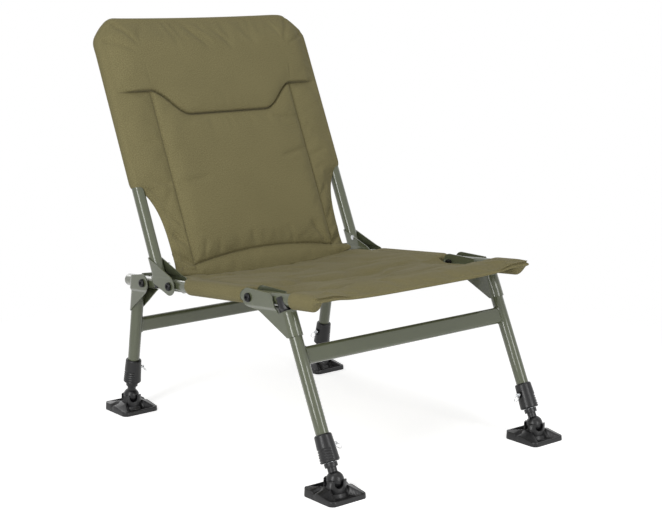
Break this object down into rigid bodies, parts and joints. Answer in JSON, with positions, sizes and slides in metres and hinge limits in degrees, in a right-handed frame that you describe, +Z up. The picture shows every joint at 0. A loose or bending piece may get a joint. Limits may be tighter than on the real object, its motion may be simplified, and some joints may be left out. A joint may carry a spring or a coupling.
{
  "type": "carp fishing chair",
  "caption": "Low folding chair on telescopic legs with swivelling square feet, a padded cloth seat on two rails and a reclined padded backrest over a U-shaped tube.",
  "frame": {"origin": "on the floor, under the middle of the bounding box", "axes": "+Z up, -Y towards the front of the seat, +X towards the left side of a person sitting in it"},
  "size_m": [0.607, 0.8436, 0.8243],
  "materials": {
    "olive_paint": "satin olive powder coat",
    "black_plastic": "moulded black nylon, satin",
    "black_steel": "black oxide",
    "bright_steel": "bright zinc plate",
    "cloth": "olive woven polyester, padded"
  },
  "bodies": {
    "seat_frame": {"rail_right": "olive_paint", "rail_left": "olive_paint", "rail_rear_cap_right": "olive_paint", "rail_rear_cap_left": "olive_paint", "rail_front_plug_right": "black_plastic", "rail_front_plug_left": "black_plastic", "seat_sling": "cloth"},
    "front_leg_frame": {"front_crossbar": "olive_paint", "front_leg_right": "olive_paint", "front_bracket_right": "olive_paint", "front_saddle_right": "black_plastic", "front_pivot_right": "black_steel", "leg_collar_front_right": "black_plastic", "front_leg_left": "olive_paint", "front_bracket_left": "olive_paint", "front_saddle_left": "black_plastic", "front_pivot_left": "black_steel", "leg_collar_front_left": "black_plastic"},
    "rear_leg_frame": {"rear_crossbar": "olive_paint", "rear_leg_right": "olive_paint", "rear_bracket_right": "olive_paint", "rear_saddle_right": "black_plastic", "rear_pivot_right": "black_steel", "leg_collar_rear_right": "black_plastic", "rear_leg_left": "olive_paint", "rear_bracket_left": "olive_paint", "rear_saddle_left": "black_plastic", "rear_pivot_left": "black_steel", "leg_collar_rear_left": "black_plastic"},
    "backrest": {"backrest_tube": "olive_paint", "back_pad": "cloth", "back_bracket_right": "olive_paint", "back_saddle_right": "black_plastic", "back_pivot_right": "black_steel", "back_bracket_left": "olive_paint", "back_saddle_left": "black_plastic", "back_pivot_left": "black_steel"},
    "inner_leg_front_right": {"inner_leg_front_right": "bright_steel"},
    "ball_stud_front_right": {"ball_stud_front_right": "black_plastic"},
    "foot_pad_front_right": {"foot_pad_front_right": "black_plastic"},
    "pull_pin_front_right": {"pull_pin_front_right": "bright_steel", "pull_ring_front_right": "bright_steel"},
    "inner_leg_front_left": {"inner_leg_front_left": "bright_steel"},
    "ball_stud_front_left": {"ball_stud_front_left": "black_plastic"},
    "foot_pad_front_left": {"foot_pad_front_left": "black_plastic"},
    "pull_pin_front_left": {"pull_pin_front_left": "bright_steel", "pull_ring_front_left": "bright_steel"},
    "inner_leg_rear_right": {"inner_leg_rear_right": "bright_steel"},
    "ball_stud_rear_right": {"ball_stud_rear_right": "black_plastic"},
    "foot_pad_rear_right": {"foot_pad_rear_right": "black_plastic"},
    "pull_pin_rear_right": {"pull_pin_rear_right": "bright_steel", "pull_ring_rear_right": "bright_steel"},
    "inner_leg_rear_left": {"inner_leg_rear_left": "bright_steel"},
    "ball_stud_rear_left": {"ball_stud_rear_left": "black_plastic"},
    "foot_pad_rear_left": {"foot_pad_rear_left": "black_plastic"},
    "pull_pin_rear_left": {"pull_pin_rear_left": "bright_steel", "pull_ring_rear_left": "bright_steel"}
  },
  "joints": [
    {"name": "front_leg_fold", "type": "hinge", "parent": "seat_frame", "child": "front_leg_frame", "pos_m": [0, -0.14608, 0.328], "axis": [1, 0, 0], "range_deg": [0, 76]},
    {"name": "rear_leg_fold", "type": "hinge", "parent": "seat_frame", "child": "rear_leg_frame", "pos_m": [0, 0.22028, 0.29337], "axis": [-1, 0, 0], "range_deg": [0, 96]},
    {"name": "backrest_fold", "type": "hinge", "parent": "seat_frame", "child": "backrest", "pos_m": [0, 0.12172, 0.30268], "axis": [1, 0, 0], "range_deg": [0, 100]},
    {"name": "leg_extension_front_right", "type": "slide", "parent": "front_leg_frame", "child": "inner_leg_front_right", "axis": [0, 0.4258, 0.9048], "range_m": [-0.1, 0]},
    {"name": "foot_spin_front_right", "type": "hinge", "parent": "inner_leg_front_right", "child": "ball_stud_front_right", "pos_m": [-0.261, -0.37931, 0.032], "axis": [0, 0.4258, 0.9048], "continuous": true},
    {"name": "foot_tilt_front_right", "type": "hinge", "parent": "ball_stud_front_right", "child": "foot_pad_front_right", "pos_m": [-0.261, -0.37931, 0.032], "axis": [1, 0, 0], "range_deg": [-20, 20]},
    {"name": "pin_pull_front_right", "type": "slide", "parent": "front_leg_frame", "child": "pull_pin_front_right", "axis": [1, 0, 0], "range_m": [0, 0.006], "stiffness_N_per_m": 800},
    {"name": "leg_extension_front_left", "type": "slide", "parent": "front_leg_frame", "child": "inner_leg_front_left", "axis": [0, 0.4258, 0.9048], "range_m": [-0.1, 0]},
    {"name": "foot_spin_front_left", "type": "hinge", "parent": "inner_leg_front_left", "child": "ball_stud_front_left", "pos_m": [0.261, -0.37931, 0.032], "axis": [0, 0.4258, 0.9048], "continuous": true},
    {"name": "foot_tilt_front_left", "type": "hinge", "parent": "ball_stud_front_left", "child": "foot_pad_front_left", "pos_m": [0.261, -0.37931, 0.032], "axis": [1, 0, 0], "range_deg": [-20, 20]},
    {"name": "pin_pull_front_left", "type": "slide", "parent": "front_leg_frame", "child": "pull_pin_front_left", "axis": [-1, 0, 0], "range_m": [0, 0.006], "stiffness_N_per_m": 800},
    {"name": "leg_extension_rear_right", "type": "slide", "parent": "rear_leg_frame", "child": "inner_leg_rear_right", "axis": [0, -0.1633, 0.9866], "range_m": [-0.1, 0]},
    {"name": "foot_spin_rear_right", "type": "hinge", "parent": "inner_leg_rear_right", "child": "ball_stud_rear_right", "pos_m": [-0.261, 0.30308, 0.032], "axis": [0, -0.1633, 0.9866], "continuous": true},
    {"name": "foot_tilt_rear_right", "type": "hinge", "parent": "ball_stud_rear_right", "child": "foot_pad_rear_right", "pos_m": [-0.261, 0.30308, 0.032], "axis": [1, 0, 0], "range_deg": [-20, 20]},
    {"name": "pin_pull_rear_right", "type": "slide", "parent": "rear_leg_frame", "child": "pull_pin_rear_right", "axis": [1, 0, 0], "range_m": [0, 0.006], "stiffness_N_per_m": 800},
    {"name": "leg_extension_rear_left", "type": "slide", "parent": "rear_leg_frame", "child": "inner_leg_rear_left", "axis": [0, -0.1633, 0.9866], "range_m": [-0.1, 0]},
    {"name": "foot_spin_rear_left", "type": "hinge", "parent": "inner_leg_rear_left", "child": "ball_stud_rear_left", "pos_m": [0.261, 0.30308, 0.032], "axis": [0, -0.1633, 0.9866], "continuous": true},
    {"name": "foot_tilt_rear_left", "type": "hinge", "parent": "ball_stud_rear_left", "child": "foot_pad_rear_left", "pos_m": [0.261, 0.30308, 0.032], "axis": [1, 0, 0], "range_deg": [-20, 20]},
    {"name": "pin_pull_rear_left", "type": "slide", "parent": "rear_leg_frame", "child": "pull_pin_rear_left", "axis": [-1, 0, 0], "range_m": [0, 0.006], "stiffness_N_per_m": 800}
  ]
}
